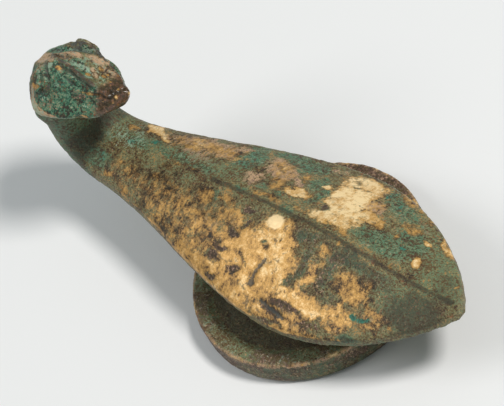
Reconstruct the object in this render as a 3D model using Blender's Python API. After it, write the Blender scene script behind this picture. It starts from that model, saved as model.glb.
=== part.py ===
"""A cast bronze garment hook.

A ridged leaf arches over a round button, narrows to a neck, and curls up and back into an
animal's head that looks along the leaf. It is cast in one, and stands on the button's flat face.

Frame: origin at the centre of the button's flat face, +X towards the leaf's tip, +Y to one side,
+Z up out of the button.
"""

import math

import bmesh
import bpy
from mathutils import Matrix, Vector

MM = 0.001
MERGE_DISTANCE = 0.0001 * MM
SHARP_ANGLE = math.radians(35)

# Bronze
BRONZE_COLOUR = (0.33, 0.25, 0.12, 1.0)
BRONZE_METALLIC = 0.6
BRONZE_ROUGHNESS = 0.5

# Button
BUTTON_RADIUS = 13.3 * MM
BUTTON_THICKNESS = 3.3 * MM
BUTTON_EDGE_ROUND = 0.8 * MM
RIM_WIDTH = 1.5 * MM
RIM_SLOPE_WIDTH = 0.7 * MM
DISH_DEPTH = 0.45 * MM
BUTTON_SEGMENTS = 72
ROUND_STEPS = 4

# Stem
STEM_RADIUS = 2.7 * MM
STEM_FLARE = 1.3 * MM
STEM_SINK = 1.2 * MM

# Leaf
BELT_GAP = 3.5 * MM
LEAF_REACH = 24.9 * MM
LEAF_WIDEST_AT = 4.2 * MM
LEAF_HALF_WIDTH = 10.15 * MM
LEAF_POINTEDNESS = 0.9
TIP_HALF_WIDTH = 0.45 * MM
TIP_RISE = 1.9 * MM
TIP_RISE_POWER = 2.6
EDGE_THICKNESS = 1.3 * MM
RIDGE_HEIGHT = 5.1 * MM
RIDGE_PEAK_AT = 5.0 * MM
RIDGE_HEIGHT_AT_TIP = 0.9 * MM
FACET_BULGE = 0.35
HOLLOW_DEPTH = 1.3 * MM
LEAF_STATIONS = 22
TAPER_STATIONS = 20

# Neck and its curl
NECK_REACH = 25.5 * MM
NECK_HALF_WIDTH = 4.0 * MM
TAPER_REACH = 28.5 * MM
TAPER_STRAIGHTNESS = 0.2
ROUND_BELOW_FROM = 0.5
NECK_HALF_DEPTH = 2.4 * MM
NECK_SIDE_FLAT = 0.7 * MM
NECK_RISE = 1.2 * MM
NECK_RISE_POWER = 0.6
CURL_RADIUS = 4.7 * MM
CURL_END_HALF_WIDTH = 3.6 * MM
CURL_SWEEP = math.radians(98)
CURL_STATIONS = 12
CURL_SINK = 1.6 * MM
HALF_RING_POINTS = 12

# Head
HOOK_GAP = 8.5 * MM
HEAD_LENGTH = 13.0 * MM
HEAD_HALF_WIDTH = 5.3 * MM
HEAD_HEIGHT = 5.1 * MM
HEAD_BEHIND_CURL = 1.9 * MM
HEAD_ROLL = math.radians(-15)
HEAD_STATIONS = 22
LIP_HEIGHT = 0.5 * MM
BROW_ROLL_HEIGHT = 0.35 * MM
MOUTH_DEPTH = 0.35 * MM
MOUTH_LEVEL = 0.42
MOUTH_STARTS = 0.62
MOUTH_FADE = 0.35
BROW_INNER = 0.55
BROW_OUTER = 1.25
CHEEK_STEPS = 4
CHEEK_BULGE = 0.85
LIP_ROUND_IN = 0.97
LIP_ROUND_UP = 0.25
LIP_UNDERCUT = 0.88

# Eyes
EYE_LENGTH = 3.6 * MM
EYE_HEIGHT = 2.3 * MM
EYE_THICKNESS = 1.6 * MM
EYE_ALONG = 0.31
EYE_LEVEL = 0.5
EYE_OUT = 0.57
EYE_TOE_OUT = math.radians(38)
EYE_DIP = math.radians(20)
EYE_SEGMENTS = 16

# Each row: share of the head's length from its back, then shares of its half width at the lip
# and at the brow, and shares of its height at the underside and at the brow.
HEAD_SHAPE = (
    (0.00, 0.16, 0.06, 0.20, 0.30),
    (0.05, 0.44, 0.20, 0.10, 0.43),
    (0.18, 0.80, 0.33, 0.00, 0.66),
    (0.40, 1.00, 0.36, 0.00, 0.95),
    (0.58, 0.93, 0.36, 0.00, 0.95),
    (0.76, 0.70, 0.32, 0.00, 0.79),
    (0.90, 0.46, 0.26, 0.06, 0.66),
    (0.97, 0.28, 0.20, 0.18, 0.58),
    (1.00, 0.14, 0.12, 0.32, 0.50),
)


def clear_scene():
    for obj in list(bpy.data.objects):
        bpy.data.objects.remove(obj, do_unlink=True)


def bronze():
    material = bpy.data.materials.new("gilt_bronze")
    material.use_nodes = True
    shader = material.node_tree.nodes["Principled BSDF"]
    shader.inputs["Base Color"].default_value = BRONZE_COLOUR
    shader.inputs["Metallic"].default_value = BRONZE_METALLIC
    shader.inputs["Roughness"].default_value = BRONZE_ROUGHNESS
    return material


def ease(share):
    """0 to 1 with level ends."""
    return 0.5 - 0.5 * math.cos(math.pi * share)


def mix(start, end, share):
    return start + (end - start) * share


def share_between(start, share):
    """0 up to start, then evenly to 1."""
    return min(max((share - start) / (1 - start), 0.0), 1.0)


def read_shape(rows, share):
    """The row of a shape table at this share, on a smooth curve through its rows."""
    last = len(rows) - 2
    i = max(k for k in range(last + 1) if rows[k][0] <= share or k == 0)
    before, here, there, after = (rows[min(max(k, 0), last + 1)] for k in (i - 1, i, i + 1, i + 2))
    span = there[0] - here[0]
    t = (share - here[0]) / span
    values = []
    for a, b, c, d in zip(before[1:], here[1:], there[1:], after[1:]):
        leave = (c - a) / max(there[0] - before[0], span) * span
        arrive = (d - b) / max(after[0] - here[0], span) * span
        values.append(
            (2 * t**3 - 3 * t**2 + 1) * b
            + (t**3 - 2 * t**2 + t) * leave
            + (3 * t**2 - 2 * t**3) * c
            + (t**3 - t**2) * arrive
        )
    return values


def bridge_rings(bm, rings):
    """Joins equal closed rings of points into one closed skin with flat ends."""
    before = []
    for ring in rings:
        verts = [bm.verts.new(point) for point in ring]
        edges = [bm.edges.new(pair) for pair in zip(verts, verts[1:] + verts[:1])]
        if before:
            bmesh.ops.bridge_loops(bm, edges=before + edges)
        before = edges
    bmesh.ops.holes_fill(bm, edges=[edge for edge in bm.edges if edge.is_boundary])


def finish_mesh(name, bm):
    bmesh.ops.remove_doubles(bm, verts=bm.verts, dist=MERGE_DISTANCE)
    bmesh.ops.recalc_face_normals(bm, faces=bm.faces)
    mesh = bpy.data.meshes.new(name)
    bm.to_mesh(mesh)
    bm.free()
    mesh.shade_smooth()
    mesh.set_sharp_from_angle(angle=SHARP_ANGLE)
    obj = bpy.data.objects.new(name, mesh)
    bpy.context.scene.collection.objects.link(obj)
    return obj


def leaf_half_width(x):
    if x >= LEAF_WIDEST_AT:
        share = (x - LEAF_WIDEST_AT) / (LEAF_REACH - LEAF_WIDEST_AT)
        pointed = max(1 - share**2, 0.0) ** LEAF_POINTEDNESS
        return mix(TIP_HALF_WIDTH, LEAF_HALF_WIDTH, pointed)
    share = (LEAF_WIDEST_AT - x) / (LEAF_WIDEST_AT + TAPER_REACH)
    return mix(LEAF_HALF_WIDTH, NECK_HALF_WIDTH, mix(ease(share), share, TAPER_STRAIGHTNESS))


def edge_height(x):
    """Height of the middle of the leaf's thin edge, or of the neck."""
    lowest = BUTTON_THICKNESS + BELT_GAP + EDGE_THICKNESS / 2
    if x >= LEAF_WIDEST_AT:
        share = (x - LEAF_WIDEST_AT) / (LEAF_REACH - LEAF_WIDEST_AT)
        return lowest + TIP_RISE * share**TIP_RISE_POWER
    share = (LEAF_WIDEST_AT - x) / (LEAF_WIDEST_AT + NECK_REACH)
    return lowest + NECK_RISE * ease(share) ** NECK_RISE_POWER


def crown_height(x):
    """How far the ridge stands above the edge's upper corner."""
    if x >= RIDGE_PEAK_AT:
        share = (x - RIDGE_PEAK_AT) / (LEAF_REACH - RIDGE_PEAK_AT)
        return mix(RIDGE_HEIGHT, RIDGE_HEIGHT_AT_TIP, ease(share))
    share = (RIDGE_PEAK_AT - x) / (RIDGE_PEAK_AT + NECK_REACH)
    return mix(RIDGE_HEIGHT, NECK_HALF_DEPTH - NECK_SIDE_FLAT / 2, ease(share))


def body_ring(half_width, thickness, crown, hollow, round_above, round_below):
    """Section as (sideways, up) points: over the crown from one edge to the other, and back below.

    Roundness runs from 0, two facets that meet in a ridge over a hollow, to 1, a half ellipse."""
    points = []
    for k in range(HALF_RING_POINTS + 1):
        side = math.cos(math.pi * k / HALF_RING_POINTS)
        facet = mix(1 - abs(side), 1 - side**2, FACET_BULGE)
        arch = math.sqrt(max(1 - side**2, 0.0))
        points.append((half_width * side, thickness / 2 + crown * mix(facet, arch, round_above)))
    for k in range(HALF_RING_POINTS + 1):
        side = -math.cos(math.pi * k / HALF_RING_POINTS)
        arch = math.sqrt(max(1 - side**2, 0.0))
        below = mix(-hollow * (1 - side**2), crown * arch, round_below)
        points.append((half_width * side, -thickness / 2 - below))
    return points


def leaf_stations():
    """x of each section from the tip to the end of the neck, closest together at the tip."""
    for k in range(LEAF_STATIONS):
        share = k / LEAF_STATIONS
        yield mix(LEAF_REACH, LEAF_WIDEST_AT, 1 - math.cos(share * math.pi / 2))
    for k in range(TAPER_STATIONS + 1):
        yield mix(LEAF_WIDEST_AT, -NECK_REACH, k / TAPER_STATIONS)


def body():
    """Leaf, neck and curl as one skin."""
    rings = []
    for x in leaf_stations():
        share = max(0.0, (LEAF_WIDEST_AT - x) / (LEAF_WIDEST_AT + NECK_REACH))
        thickness = mix(EDGE_THICKNESS, NECK_SIDE_FLAT, share)
        hollow = HOLLOW_DEPTH * leaf_half_width(x) / LEAF_HALF_WIDTH
        below = ease(share_between(ROUND_BELOW_FROM, share))
        ring = body_ring(
            leaf_half_width(x), thickness, crown_height(x), hollow, ease(share), below
        )
        rings.append([Vector((x, y, edge_height(x) + up)) for y, up in ring])
    crown = NECK_HALF_DEPTH - NECK_SIDE_FLAT / 2
    for k in range(1, CURL_STATIONS + 1):
        share = k / CURL_STATIONS
        turn = CURL_SWEEP * share
        width = mix(leaf_half_width(-NECK_REACH), CURL_END_HALF_WIDTH, share)
        ring = body_ring(width, NECK_SIDE_FLAT, crown, 0.0, 1.0, 1.0)
        x = -NECK_REACH - CURL_RADIUS * math.sin(turn)
        z = edge_height(-NECK_REACH) + CURL_RADIUS * (1 - math.cos(turn))
        rings.append(
            [Vector((x + up * math.sin(turn), y, z + up * math.cos(turn))) for y, up in ring]
        )
    rise = underside_height() + CURL_SINK - rings[-1][0].z
    lean = Vector((-math.cos(CURL_SWEEP), 0.0, math.sin(CURL_SWEEP)))
    rings.append([point + lean * rise for point in rings[-1]])
    bm = bmesh.new()
    bridge_rings(bm, rings)
    return finish_mesh("garment_hook", bm)


def underside_height():
    """Height of the head's underside: the hook's opening above the neck's top."""
    return edge_height(-NECK_REACH) + NECK_HALF_DEPTH + HOOK_GAP


def head_ring(share):
    """The head's section as (sideways, up) points, up from the underside's level."""
    lip, brow, low, high = read_shape(HEAD_SHAPE, share)
    half_lip = lip * HEAD_HALF_WIDTH
    half_brow = brow * HEAD_HALF_WIDTH
    bottom = low * HEAD_HEIGHT
    top = high * HEAD_HEIGHT
    mouth = MOUTH_DEPTH * min(share_between(MOUTH_STARTS, share) / MOUTH_FADE, 1.0)
    half = [
        (0.0, top),
        (half_brow * BROW_INNER, top),
        (half_brow, top + BROW_ROLL_HEIGHT),
        (half_brow * BROW_OUTER, top),
    ]
    for step in range(1, CHEEK_STEPS):
        down = step / CHEEK_STEPS
        side = mix(half_brow * BROW_OUTER, half_lip, down**CHEEK_BULGE)
        at_mouth = step == CHEEK_STEPS // 2
        level = MOUTH_LEVEL if at_mouth else 1 - down
        half.append((side - mouth * at_mouth, mix(bottom + LIP_HEIGHT, top, level)))
    half += [
        (half_lip, bottom + LIP_HEIGHT),
        (half_lip * LIP_ROUND_IN, bottom + LIP_HEIGHT * LIP_ROUND_UP),
        (half_lip * LIP_UNDERCUT, bottom),
        (0.0, bottom),
    ]
    return half + [(-side, up) for side, up in half[-2:0:-1]]


def head_place():
    """Leans and moves the head's own frame, x from its back and z from its underside."""
    back = -NECK_REACH - CURL_RADIUS - HEAD_BEHIND_CURL
    return Matrix.Translation((back, 0.0, underside_height())) @ Matrix.Rotation(HEAD_ROLL, 4, "X")


def head():
    place = head_place()
    rings = []
    for k in range(HEAD_STATIONS + 1):
        share = k / HEAD_STATIONS
        x = share * HEAD_LENGTH
        rings.append([place @ Vector((x, side, up)) for side, up in head_ring(share)])
    bm = bmesh.new()
    bridge_rings(bm, rings)
    return finish_mesh("head_form", bm)


def eye(side):
    centre = Vector(
        (EYE_ALONG * HEAD_LENGTH, side * EYE_OUT * HEAD_HALF_WIDTH, EYE_LEVEL * HEAD_HEIGHT)
    )
    size = Matrix.Diagonal((EYE_LENGTH, EYE_THICKNESS, EYE_HEIGHT, 1.0))
    turned = Matrix.Rotation(side * EYE_TOE_OUT, 4, "Z") @ Matrix.Rotation(EYE_DIP, 4, "Y")
    bm = bmesh.new()
    bmesh.ops.create_uvsphere(
        bm,
        u_segments=EYE_SEGMENTS,
        v_segments=EYE_SEGMENTS // 2,
        radius=0.5,
        matrix=head_place() @ Matrix.Translation(centre) @ turned @ size,
    )
    return finish_mesh("eye_far" if side > 0 else "eye_near", bm)


def arc(centre_x, centre_z, radius, start, end):
    for k in range(ROUND_STEPS + 1):
        angle = math.radians(mix(start, end, k / ROUND_STEPS))
        yield (centre_x + radius * math.cos(angle), centre_z + radius * math.sin(angle))


def button():
    """Button and stem, spun round the upright axis."""
    inner = BUTTON_RADIUS - BUTTON_EDGE_ROUND
    floor = BUTTON_THICKNESS - DISH_DEPTH
    under_leaf = BUTTON_THICKNESS + BELT_GAP + HOLLOW_DEPTH
    profile = [(0.0, 0.0)]
    profile += arc(inner, BUTTON_EDGE_ROUND, BUTTON_EDGE_ROUND, -90, 0)
    profile += arc(inner, BUTTON_THICKNESS - BUTTON_EDGE_ROUND, BUTTON_EDGE_ROUND, 0, 90)
    profile += [
        (BUTTON_RADIUS - RIM_WIDTH, BUTTON_THICKNESS),
        (BUTTON_RADIUS - RIM_WIDTH - RIM_SLOPE_WIDTH, floor),
        (STEM_RADIUS + STEM_FLARE, floor),
    ]
    profile += list(arc(STEM_RADIUS + STEM_FLARE, floor + STEM_FLARE, STEM_FLARE, 270, 180))[1:]
    profile += arc(STEM_RADIUS + STEM_FLARE, under_leaf - STEM_FLARE, STEM_FLARE, 180, 90)
    profile += [(STEM_RADIUS + STEM_FLARE, under_leaf + STEM_SINK), (0.0, under_leaf + STEM_SINK)]
    bm = bmesh.new()
    verts = [bm.verts.new((radius, 0.0, height)) for radius, height in profile]
    edges = [bm.edges.new(pair) for pair in zip(verts, verts[1:])]
    bmesh.ops.spin(
        bm,
        geom=verts + edges,
        cent=(0.0, 0.0, 0.0),
        axis=(0.0, 0.0, 1.0),
        angle=2 * math.pi,
        steps=BUTTON_SEGMENTS,
        use_merge=True,
    )
    return finish_mesh("button_form", bm)


def unite(whole, form):
    form.hide_render = True
    form.display_type = "WIRE"
    joined = whole.modifiers.new(form.name, "BOOLEAN")
    joined.operation = "UNION"
    joined.solver = "EXACT"
    joined.object = form


def main():
    clear_scene()
    hook = body()
    for form in (button(), head(), eye(1), eye(-1)):
        unite(hook, form)
    hook.data.materials.append(bronze())


main()
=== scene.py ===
"""Looks of a cast bronze garment hook: worn gilding over brown and green corroded bronze.

Run it as a script in Blender 4.5. Places on the hook are in millimetres. On the leaf and neck they go
along and across from the button's axis, and on the head along from its back, to the side, and up from
its underside.
"""

import math
from types import SimpleNamespace

import bmesh
import bpy
import numpy as np
from bpy.props import FloatProperty, FloatVectorProperty, PointerProperty
from mathutils import Matrix, Vector, noise


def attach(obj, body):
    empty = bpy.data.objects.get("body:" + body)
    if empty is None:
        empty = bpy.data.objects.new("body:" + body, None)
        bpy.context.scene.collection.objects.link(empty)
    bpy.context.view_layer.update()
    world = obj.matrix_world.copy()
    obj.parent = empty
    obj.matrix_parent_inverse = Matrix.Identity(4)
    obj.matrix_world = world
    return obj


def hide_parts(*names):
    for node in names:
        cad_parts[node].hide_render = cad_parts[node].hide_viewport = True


bl_info = {
    "name": "Bronze Garment Hook",
    "version": (1, 0, 0),
    "blender": (4, 5, 0),
    "location": "3D View > Sidebar > Hook",
    "description": "Casts a worn gilt bronze garment hook and sets its stage",
    "category": "Object",
}

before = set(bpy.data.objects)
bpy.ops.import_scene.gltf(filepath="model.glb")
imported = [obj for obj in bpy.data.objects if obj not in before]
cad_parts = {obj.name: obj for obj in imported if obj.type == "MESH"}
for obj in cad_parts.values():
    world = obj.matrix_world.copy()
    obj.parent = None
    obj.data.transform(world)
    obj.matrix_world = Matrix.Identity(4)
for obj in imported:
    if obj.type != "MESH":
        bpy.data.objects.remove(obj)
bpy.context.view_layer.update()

MM = 0.001
NODE = "garment_hook"

# Fine mesh
WELD = 0.001 * MM
SOFTEN_PASSES = 3
EASE_PASSES = 26
EASE_STEP = 0.5
FLAT_BELOW = math.radians(5)
CREASE_ABOVE = math.radians(11)

# Regions of the casting, in mm
HEAD_FROM_HEIGHT = 17.4
HEAD_BACK = (-32.1, 0.0, 19.55)
HEAD_LEAN = math.radians(-15)
LEAF_FROM_HEIGHT = 6.4
BUTTON_TOP = 3.3
BUTTON_RADIUS = 13.3
RIM_WIDTH = 2.2
EDGE_ROUND = 0.8
NEAR_SIDE = (0.0, -4.0)

# Single features of the surface, in mm
EDGE_RISE = 0.22
SPOT_RISE = 0.035
GROOVE_DEPTH = 0.14
RIDGE_DEPTH = 0.04
BARE_DEPTH = 0.04
TIP_HOLLOW_DEPTH = 0.15
TIP_HOLLOW_RADIUS = 0.6

# Wandering of the patches' outlines, in mm
DRIFT = 0.45
DRIFT_LENGTH = 1.5

# Finishes in patches: middle, half length, half width, turn in degrees, strength

# On the leaf and neck, in plan: along, across
LEAF_PATCHES = {
    "gilding": (
        (0.8, -5.4, 7.4, 3.6, -2, 1.0),
        (2.2, -2.2, 3.2, 1.7, 0, 0.97),
        (-3.0, -8.3, 6.0, 1.7, -12, 0.95),
        (6.6, -6.9, 5.6, 1.2, 2, 0.97),
        (2.0, -5.6, 5.4, 3.8, 0, 1.0),
        (5.6, -8.9, 5.0, 1.2, 3, 0.95),
        (12.5, -6.4, 2.6, 1.5, 8, 0.84),
        (12.9, -3.5, 2.4, 1.5, -6, 1.0),
        (14.7, -2.3, 0.7, 0.6, 0, 0.8),
        (16.8, -4.7, 1.9, 0.8, 14, 0.85),
        (16.6, -5.7, 1.6, 0.5, 24, 0.85),
        (18.6, -5.1, 0.5, 0.3, 0, 0.75),
        (8.1, -4.0, 0.9, 1.4, 0, 1.0),
        (8.6, -2.8, 2.8, 2.4, 0, 0.6),
        (14.0, -4.4, 3.4, 2.2, 0, 0.57),
        (8.0, -1.7, 1.1, 0.55, 70, 0.8),
        (-8.0, -5.2, 5.2, 2.9, -12, 0.76),
        (-13.0, -3.6, 8.0, 2.6, -7, 0.68),
        (-4.4, 5.4, 2.4, 1.2, -12, 0.62),
        (-14.5, 4.0, 5.2, 1.3, 5, 0.66),
        (-22.0, -2.6, 3.0, 1.4, -2, 0.55),
        (-15.5, 3.6, 7.5, 1.1, 6, 0.58),
        (-4.6, -2.6, 2.6, 1.6, 0, 0.76),
        (-9.6, -1.7, 1.2, 1.0, 0, 0.84),
        (-6.2, -1.1, 1.6, 0.5, 0, 0.78),
        (-8.0, -7.3, 3.8, 1.0, -13, 0.88),
        (-13.2, -5.4, 2.6, 0.9, -12, 0.66),
        (-13.0, -3.2, 2.6, 1.4, 0, 0.5),
        (-17.4, -2.2, 1.0, 0.9, 0, 0.72),
        (-15.3, -4.3, 2.8, 0.7, -8, 0.6),
        (-20.7, -2.4, 1.6, 0.9, 10, 0.66),
        (-13.2, 0.4, 1.2, 0.3, 0, 0.56),
        (-16.0, 0.5, 0.7, 0.3, 0, 0.56),
        (-23.5, -2.2, 1.2, 0.8, 0, 0.64),
        (-21.4, -4.1, 1.8, 0.5, -6, 0.68),
        (-24.0, -3.6, 0.9, 0.4, 0, 0.72),
        (-17.0, -0.2, 1.0, 0.5, 0, 0.54),
        (4.7, 8.1, 3.0, 1.6, 0, 0.95),
        (5.2, 5.9, 2.7, 1.8, -8, 1.0),
        (6.3, 3.8, 3.3, 1.5, -6, 1.0),
        (6.2, 1.9, 2.9, 0.9, 2, 0.96),
        (9.0, 4.5, 1.5, 0.9, 0, 0.92),
        (8.3, 6.2, 1.4, 0.8, -12, 0.6),
        (10.5, 4.4, 0.9, 0.5, -25, 0.86),
        (8.9, 1.2, 0.6, 0.45, 0, 0.85),
        (9.5, 0.05, 0.28, 0.2, 0, 1.0),
        (0.1, 3.15, 1.7, 0.7, 6, 1.0),
        (1.8, 5.4, 0.5, 0.4, -30, 1.0),
        (-3.0, 3.1, 1.2, 1.2, 0, 0.76),
        (-2.4, 1.05, 2.6, 0.32, 0, 0.74),
        (2.5, 1.2, 1.2, 0.3, -6, 0.7),
        (-1.0, 5.3, 0.8, 0.4, -38, 0.74),
        (0.1, 7.3, 0.7, 0.35, 30, 0.64),
        (-4.6, 5.8, 2.0, 1.1, -12, 0.54),
        (13.2, 5.9, 1.5, 0.8, -8, 0.7),
        (15.9, 5.1, 0.8, 0.4, -18, 0.92),
        (18.0, 6.0, 1.8, 0.5, -36, 0.88),
        (17.0, 2.6, 1.0, 0.5, -62, 1.0),
        (10.2, 8.95, 2.4, 0.4, -13, 0.72),
        (13.6, 8.2, 1.0, 0.3, -22, 0.62),
        (13.0, 4.2, 0.3, 0.3, 0, 0.85),
        (22.7, 2.4, 0.45, 0.2, -50, 0.8),
        (15.5, 0.6, 0.5, 0.18, -40, 0.75),
        (-22.4, 3.5, 2.1, 0.6, -6, 0.95),
        (-20.0, 2.7, 0.9, 0.35, -18, 0.92),
        (-17.2, 3.3, 2.2, 0.8, -2, 0.62),
        (-13.2, 3.7, 2.8, 0.9, 5, 0.6),
        (-11.0, 4.9, 1.5, 0.7, 15, 0.64),
        (-25.0, 2.3, 1.0, 0.35, 0, 0.72),
    ),
    "bare": (
        (0.7, -3.4, 0.45, 0.22, 14, 0.62),
        (1.3, -3.7, 0.3, 0.18, -20, 0.6),
        (-3.4, -4.0, 0.8, 0.45, -8, 1.0),
        (-5.0, -6.6, 0.95, 0.45, 4, 0.95),
        (-4.6, -5.5, 1.2, 0.3, 10, 0.85),
        (-1.9, -6.8, 0.9, 0.45, 8, 0.8),
        (-1.0, -5.8, 0.8, 0.2, -18, 0.55),
        (-2.4, -2.6, 0.6, 0.2, 50, 0.9),
        (-2.8, -1.1, 1.0, 0.35, 10, 0.95),
        (-4.3, -8.3, 0.9, 0.3, -5, 0.8),
        (5.6, -1.1, 1.5, 0.9, -8, 0.85),
        (6.6, -3.7, 2.2, 0.5, 84, 0.8),
        (5.9, -5.6, 0.8, 0.5, 10, 0.85),
        (9.7, -3.1, 2.5, 0.75, 78, 0.75),
        (10.6, -5.4, 1.5, 0.45, -4, 0.75),
        (6.1, -7.9, 1.9, 0.36, -3, 0.8),
        (4.9, -8.75, 1.9, 0.2, -9, 0.9),
        (4.6, -9.7, 2.2, 0.2, 3, 0.7),
        (9.8, -8.4, 1.5, 0.22, 14, 0.8),
        (15.6, -5.6, 0.75, 0.28, 12, 0.85),
        (14.4, -5.85, 0.4, 0.25, 0, 0.8),
        (4.2, 2.9, 0.65, 0.35, -50, 1.0),
        (4.9, 7.5, 1.2, 0.16, -10, 0.5),
        (3.3, 8.3, 0.7, 0.2, -30, 0.6),
    ),
    "pale": (
        # The first three are a painted sheen on the near facet, the fourth a painted highlight along
        # its lower band.
        (-0.6, -3.9, 2.2, 1.3, 25, 0.36),
        (1.4, -3.2, 2.8, 1.7, 0, 0.24),
        (3.0, -5.4, 2.6, 1.8, 0, 0.15),
        (9.5, -6.7, 3.0, 0.4, 4, 0.3),
        (5.2, 5.6, 3.0, 2.4, 0, 1.0),
        (6.4, 3.6, 3.4, 1.8, 0, 0.8),
        (-14.5, 4.0, 4.5, 0.8, 5, 0.3),
        (-4.4, 5.4, 2.0, 1.0, -12, 0.3),
        (6.0, 1.9, 2.6, 0.9, 0, 0.65),
        (4.6, 8.0, 2.9, 1.5, 0, 0.8),
        (0.1, 3.15, 1.6, 0.7, 6, 0.75),
        (1.8, 5.4, 0.5, 0.4, 0, 1.0),
        (17.0, 2.6, 0.9, 0.5, -62, 0.95),
        (-22.4, 3.5, 2.0, 0.6, -6, 0.8),
        (-20.0, 2.7, 0.8, 0.35, -18, 0.8),
        (15.9, 5.1, 0.7, 0.4, -18, 0.6),
        (18.0, 6.0, 1.5, 0.4, -36, 0.6),
        # Painted highlight along the near facet's lower band.
        (9.6, -7.3, 1.8, 0.3, 4, 0.6),
    ),
    "worn": (
        (12.9, -3.5, 2.8, 1.9, -6, 0.5),
        (8.6, -2.4, 3.0, 2.0, 0, 0.35),
        (16.8, -4.7, 2.4, 1.2, 14, 0.9),
        (8.1, -3.8, 1.1, 1.5, 0, 0.6),
        (14.6, -2.2, 1.2, 0.9, 0, 0.7),
        (-18.0, -2.8, 9.0, 2.2, -4, 0.5),
        (-9.5, -4.0, 5.0, 3.0, -10, 0.5),
        (6.4, -8.0, 3.0, 0.8, -3, 0.65),
        (11.5, -7.3, 3.0, 1.0, 8, 0.4),
        (5.0, 4.2, 1.4, 0.7, -20, 0.6),
        (6.8, 3.0, 1.6, 0.6, 0, 0.4),
        (4.6, -9.4, 3.4, 0.6, 3, 0.5),
        (9.4, -8.5, 2.4, 0.6, 12, 0.6),
    ),
    "green": (
        (2.4, 4.4, 0.9, 0.8, -30, 1.0),
        (2.3, 3.2, 0.5, 0.9, 0, 0.9),
        (0.6, 5.7, 0.9, 1.3, 0, 0.95),
        (-2.6, 7.3, 2.8, 1.2, 10, 0.95),
        (-5.6, 7.6, 2.4, 0.7, 16, 0.9),
        (-8.6, 4.6, 1.6, 1.9, 0, 1.0),
        (-9.6, 6.7, 1.4, 0.6, 22, 0.85),
        (1.0, 0.95, 1.1, 0.55, 0, 0.9),
        (-1.9, 2.0, 1.2, 0.4, -25, 0.85),
        (-3.8, 1.9, 0.8, 0.4, 0, 0.7),
        (-5.8, 0.7, 1.4, 0.5, 0, 0.7),
        (12.6, 2.4, 3.5, 1.4, 0, 0.9),
        (10.4, 7.7, 2.4, 0.9, -16, 0.9),
        (7.9, 8.2, 0.6, 1.2, 10, 0.95),
        (14.6, 4.5, 2.4, 1.4, -25, 0.85),
        (12.0, 6.6, 3.0, 1.0, -18, 0.7),
        (-12.4, 1.1, 2.0, 0.6, 4, 0.85),
        (-22.8, 1.0, 2.2, 0.9, 0, 0.8),
        (-20.6, 1.8, 0.9, 0.4, 0, 0.9),
        (-25.5, -2.6, 1.4, 1.2, 0, 0.9),
        (-17.0, 1.3, 3.2, 0.6, 0, 0.7),
        (-24.5, 3.9, 0.7, 0.3, 0, 0.8),
        (-8.4, -1.4, 0.9, 0.8, 0, 0.75),
        (5.7, -1.2, 1.4, 0.9, 0, 0.6),
        (6.6, -3.7, 2.4, 0.7, 84, 0.6),
        (5.9, -5.6, 0.9, 0.6, 10, 0.5),
        (0.9, -3.5, 0.6, 0.35, 10, 0.6),
        (9.9, -3.4, 2.2, 0.9, 78, 0.5),
        (10.6, -5.4, 1.5, 0.5, -4, 0.4),
        (15.6, -5.6, 0.9, 0.4, 12, 1.0),
        (14.4, -5.85, 0.5, 0.35, 0, 1.0),
        (14.6, -8.0, 1.8, 0.7, 28, 0.8),
        (11.0, -1.0, 5.0, 0.8, -2, 0.55),
    ),
    "film": (
        (19.3, 3.2, 5.4, 3.0, -35, 1.0),
        (22.0, 1.0, 3.0, 1.2, -20, 0.9),
        (19.0, -2.6, 5.0, 2.4, -5, 0.9),
        (14.8, -1.2, 4.0, 1.0, 0, 0.7),
        (8.6, -2.6, 3.4, 2.0, 0, 0.65),
        (-15.5, 1.5, 6.5, 0.9, 0, 0.75),
        (-12.0, 1.0, 3.0, 1.0, 0, 0.85),
        (-16.0, -0.6, 6.0, 1.2, 0, 0.6),
        (12.6, 2.4, 4.2, 1.7, 0, 0.7),
        (-22.5, 1.2, 4.5, 1.4, 0, 0.95),
        (-26.5, 1.5, 1.5, 2.5, 0, 0.8),
        (-10.0, 2.0, 3.5, 1.2, 0, 0.9),
        (12.0, 7.4, 3.5, 1.2, -18, 0.6),
    ),
    "teal": (
        (-8.7, 4.6, 1.3, 1.4, 0, 0.6),
        (-5.4, 7.3, 2.0, 0.6, 14, 0.4),
        (14.6, 3.25, 0.5, 0.25, 0, 1.0),
        (7.8, 8.1, 0.3, 0.7, 0, 0.9),
        (7.5, 9.35, 0.7, 0.3, 0, 0.9),
        (9.95, 7.8, 0.3, 0.5, 0, 0.9),
        (12.5, 2.6, 2.6, 0.8, 0, 0.25),
        (-23.3, 0.5, 0.8, 0.5, 0, 0.9),
        (-20.7, 1.8, 0.5, 0.3, 0, 0.9),
        (15.6, -5.6, 0.9, 0.35, 12, 1.0),
        (14.4, -5.85, 0.45, 0.3, 0, 1.0),
        (2.6, 4.6, 0.7, 0.4, 0, 0.4),
        (-2.5, 7.2, 1.5, 0.6, 20, 0.4),
        (-25.8, -2.2, 0.7, 0.5, 0, 0.6),
    ),
    "mint": (
        (-8.4, 5.0, 1.6, 1.8, 0, 0.3),
        # Next entry: mint bloom on the neck beside the head, partly painted light where the head's
        # shadow falls.
        (-24.0, 1.2, 2.8, 1.8, 0, 0.46),
        (-14.0, 2.0, 4.0, 0.8, 5, 0.3),
        (-3.0, 7.3, 2.4, 0.8, 10, 0.3),
    ),
    "rose": (
        (-4.4, 5.4, 2.7, 1.5, -12, 1.0),
        (-1.2, 4.4, 1.1, 0.55, -30, 0.95),
        (8.2, 5.9, 1.5, 1.0, -10, 0.9),
        (7.2, 8.2, 1.1, 0.9, -30, 0.8),
        (2.5, 8.6, 1.0, 0.6, 0, 0.6),
        (0.4, 8.7, 1.5, 0.6, 0, 0.6),
        (-10.6, 5.6, 1.4, 0.7, 18, 0.8),
        (-14.5, 4.1, 5.0, 1.4, 5, 0.9),
        (-14.6, 2.3, 3.5, 0.6, 0, 0.7),
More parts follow.
